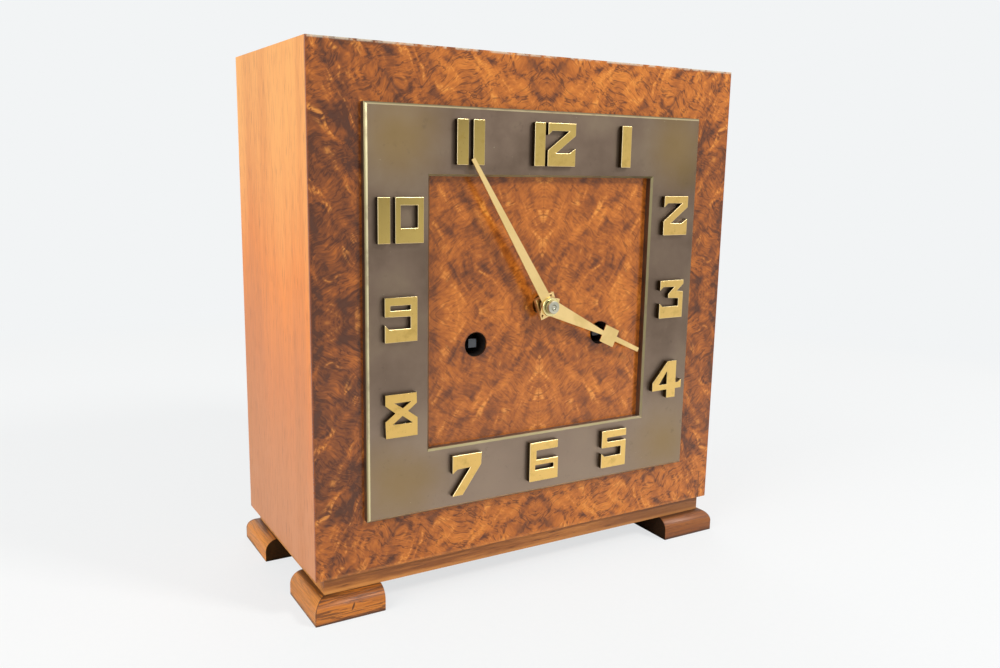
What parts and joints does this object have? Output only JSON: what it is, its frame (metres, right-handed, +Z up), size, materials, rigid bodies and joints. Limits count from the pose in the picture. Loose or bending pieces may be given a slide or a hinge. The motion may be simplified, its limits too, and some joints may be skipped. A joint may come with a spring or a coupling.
{
  "type": "mantel clock",
  "caption": "Square wooden desk clock with a metal dial frame, raised numerals, two hands, a striking pendulum movement and a hinged rear door.",
  "frame": {"origin": "middle of the outer box on the ground under the feet", "axes": "+X to the right of the dial, +Y from the dial to the rear door, +Z up"},
  "size_m": [0.244, 0.132, 0.263],
  "materials": {
    "burl_veneer": "gloss",
    "side_veneer": "satin",
    "inner_wood": "matte",
    "plinth_wood": "satin",
    "foot_wood": "satin",
    "door_wood": "satin",
    "hinge_brass": "satin",
    "bronze": "satin",
    "cast_brass": "satin",
    "hand_brass": "polished",
    "nickel": "satin",
    "plate_brass": "satin",
    "steel": "satin",
    "cast_iron": "matte"
  },
  "bodies": {
    "case": {"case_left_side": "side_veneer", "case_right_side": "side_veneer", "case_top": "side_veneer", "case_bottom": "side_veneer", "front_board": "inner_wood", "front_veneer": "burl_veneer", "plinth": "plinth_wood", "feet": "foot_wood", "door_stops": "inner_wood", "hinge_case_leaves": "hinge_brass", "dial_frame": "bronze", "numeral_1": "cast_brass", "numeral_2": "cast_brass", "numeral_3": "cast_brass", "numeral_4": "cast_brass", "numeral_5": "cast_brass", "numeral_6": "cast_brass", "numeral_7": "cast_brass", "numeral_8": "cast_brass", "numeral_9": "cast_brass", "numeral_10": "cast_brass", "numeral_11": "cast_brass", "numeral_12": "cast_brass", "front_plate": "plate_brass", "back_plate": "plate_brass", "movement_pillars": "plate_brass", "mounting_posts": "steel", "suspension_cock": "plate_brass", "gong_block": "cast_iron", "gong_rods": "steel"},
    "rear_door": {"rear_door": "door_wood", "hinge_door_leaves": "hinge_brass", "door_knob": "hinge_brass"},
    "turn_button": {"turn_button": "hinge_brass"},
    "minute_hand": {"minute_hand": "hand_brass", "hand_washer": "hand_brass", "hand_nut": "nickel", "cannon_pinion": "steel"},
    "hour_hand": {"hour_hand": "hand_brass", "hour_wheel": "plate_brass"},
    "minute_wheel": {"minute_wheel": "plate_brass"},
    "escape_wheel": {"escape_wheel": "plate_brass"},
    "fourth_wheel": {"fourth_wheel": "plate_brass"},
    "third_wheel": {"third_wheel": "plate_brass"},
    "centre_wheel": {"centre_wheel": "plate_brass"},
    "intermediate_wheel": {"intermediate_wheel": "plate_brass"},
    "going_barrel": {"going_barrel": "plate_brass"},
    "fly": {"fly": "plate_brass"},
    "warning_wheel": {"warning_wheel": "plate_brass"},
    "pin_wheel": {"pin_wheel": "plate_brass"},
    "strike_second_wheel": {"strike_second_wheel": "plate_brass"},
    "strike_barrel": {"strike_barrel": "plate_brass"},
    "going_winding_arbor": {"going_winding_arbor": "steel"},
    "strike_winding_arbor": {"strike_winding_arbor": "steel"},
    "going_click": {"going_click": "steel"},
    "strike_click": {"strike_click": "steel"},
    "pendulum": {"pendulum_rod": "steel", "pendulum_bob": "plate_brass"},
    "pallet_anchor": {"pallet_anchor": "steel"},
    "hammer": {"hammer": "steel"}
  },
  "joints": [
    {"name": "minute_hand_turn", "type": "hinge", "parent": "case", "child": "minute_hand", "pos_m": [0, -0.017, 0.1427], "axis": [0, 1, 0], "continuous": true},
    {"name": "minute_wheel_turn", "type": "hinge", "parent": "case", "child": "minute_wheel", "pos_m": [-0.0086, -0.017, 0.1511], "axis": [0, 1, 0], "continuous": true},
    {"name": "hour_hand_turn", "type": "hinge", "parent": "case", "child": "hour_hand", "pos_m": [0, -0.017, 0.1427], "axis": [0, 1, 0], "continuous": true},
    {"name": "escape_wheel_turn", "type": "hinge", "parent": "case", "child": "escape_wheel", "pos_m": [0, -0.017, 0.1821], "axis": [0, 1, 0], "continuous": true},
    {"name": "fourth_wheel_turn", "type": "hinge", "parent": "case", "child": "fourth_wheel", "pos_m": [0, -0.017, 0.1701], "axis": [0, 1, 0], "continuous": true},
    {"name": "third_wheel_turn", "type": "hinge", "parent": "case", "child": "third_wheel", "pos_m": [0, -0.017, 0.1581], "axis": [0, 1, 0], "continuous": true},
    {"name": "centre_wheel_turn", "type": "hinge", "parent": "case", "child": "centre_wheel", "pos_m": [0, -0.017, 0.1427], "axis": [0, 1, 0], "continuous": true},
    {"name": "intermediate_wheel_turn", "type": "hinge", "parent": "case", "child": "intermediate_wheel", "pos_m": [0.019, -0.017, 0.1432], "axis": [0, 1, 0], "continuous": true},
    {"name": "going_barrel_turn", "type": "hinge", "parent": "case", "child": "going_barrel", "pos_m": [0.0373, -0.017, 0.1253], "axis": [0, 1, 0], "continuous": true},
    {"name": "fly_turn", "type": "hinge", "parent": "case", "child": "fly", "pos_m": [-0.0275, -0.017, 0.1932], "axis": [0, 1, 0], "continuous": true},
    {"name": "warning_wheel_turn", "type": "hinge", "parent": "case", "child": "warning_wheel", "pos_m": [-0.0195, -0.017, 0.1849], "axis": [0, 1, 0], "continuous": true},
    {"name": "pin_wheel_turn", "type": "hinge", "parent": "case", "child": "pin_wheel", "pos_m": [-0.02, -0.017, 0.1701], "axis": [0, 1, 0], "continuous": true},
    {"name": "strike_second_wheel_turn", "type": "hinge", "parent": "case", "child": "strike_second_wheel", "pos_m": [-0.033, -0.017, 0.1513], "axis": [0, 1, 0], "continuous": true},
    {"name": "strike_barrel_turn", "type": "hinge", "parent": "case", "child": "strike_barrel", "pos_m": [-0.0373, -0.017, 0.1253], "axis": [0, 1, 0], "continuous": true},
    {"name": "going_winding", "type": "hinge", "parent": "case", "child": "going_winding_arbor", "pos_m": [0.0373, -0.032, 0.1253], "axis": [0, 1, 0], "range_deg": [0, 1800]},
    {"name": "strike_winding", "type": "hinge", "parent": "case", "child": "strike_winding_arbor", "pos_m": [-0.0373, -0.032, 0.1253], "axis": [0, -1, 0], "range_deg": [0, 1800]},
    {"name": "going_click_lift", "type": "hinge", "parent": "case", "child": "going_click", "pos_m": [0.0343, -0.0353, 0.1371], "axis": [0, -1, 0], "range_deg": [0, 12], "stiffness_Nm_per_rad": 0.001, "springref_deg": -5.73},
    {"name": "strike_click_lift", "type": "hinge", "parent": "case", "child": "strike_click", "pos_m": [-0.0343, -0.0353, 0.1371], "axis": [0, 1, 0], "range_deg": [0, 12], "stiffness_Nm_per_rad": 0.001, "springref_deg": -5.73},
    {"name": "pendulum_swing", "type": "hinge", "parent": "case", "child": "pendulum", "pos_m": [0, 0.006, 0.1963], "axis": [0, 1, 0], "range_deg": [-3, 3]},
    {"name": "anchor_rock", "type": "hinge", "parent": "case", "child": "pallet_anchor", "pos_m": [0, -0.017, 0.1963], "axis": [0, 1, 0], "range_deg": [-3, 3]},
    {"name": "hammer_lift", "type": "hinge", "parent": "case", "child": "hammer", "pos_m": [-0.052, -0.017, 0.1667], "axis": [0, -1, 0], "range_deg": [0, 14], "stiffness_Nm_per_rad": 0.02, "springref_deg": -20.05},
    {"name": "rear_door_swing", "type": "hinge", "parent": "case", "child": "rear_door", "pos_m": [0.10775, 0.0572, 0.1415], "axis": [0, 0, -1], "range_deg": [0, 170]},
    {"name": "turn_button_turn", "type": "hinge", "parent": "case", "child": "turn_button", "pos_m": [-0.114, 0.0566, 0.1415], "axis": [0, -1, 0], "range_deg": [0, 90]}
  ],
  "couplings": [
    {"joint": "minute_wheel_turn", "follows": "minute_hand_turn", "ratio": -0.33333},
    {"joint": "hour_hand_turn", "follows": "minute_hand_turn", "ratio": 0.083333},
    {"joint": "fourth_wheel_turn", "follows": "escape_wheel_turn", "ratio": -0.2},
    {"joint": "third_wheel_turn", "follows": "escape_wheel_turn", "ratio": 0.04},
    {"joint": "centre_wheel_turn", "follows": "escape_wheel_turn", "ratio": -0.0066667},
    {"joint": "intermediate_wheel_turn", "follows": "escape_wheel_turn", "ratio": 0.0014815},
    {"joint": "going_barrel_turn", "follows": "escape_wheel_turn", "ratio": -0.00032922},
    {"joint": "warning_wheel_turn", "follows": "fly_turn", "ratio": -0.33333},
    {"joint": "pin_wheel_turn", "follows": "fly_turn", "ratio": 0.083333},
    {"joint": "strike_second_wheel_turn", "follows": "fly_turn", "ratio": -0.018519},
    {"joint": "strike_barrel_turn", "follows": "fly_turn", "ratio": 0.0041152},
    {"joint": "anchor_rock", "follows": "pendulum_swing", "ratio": 1}
  ]
}
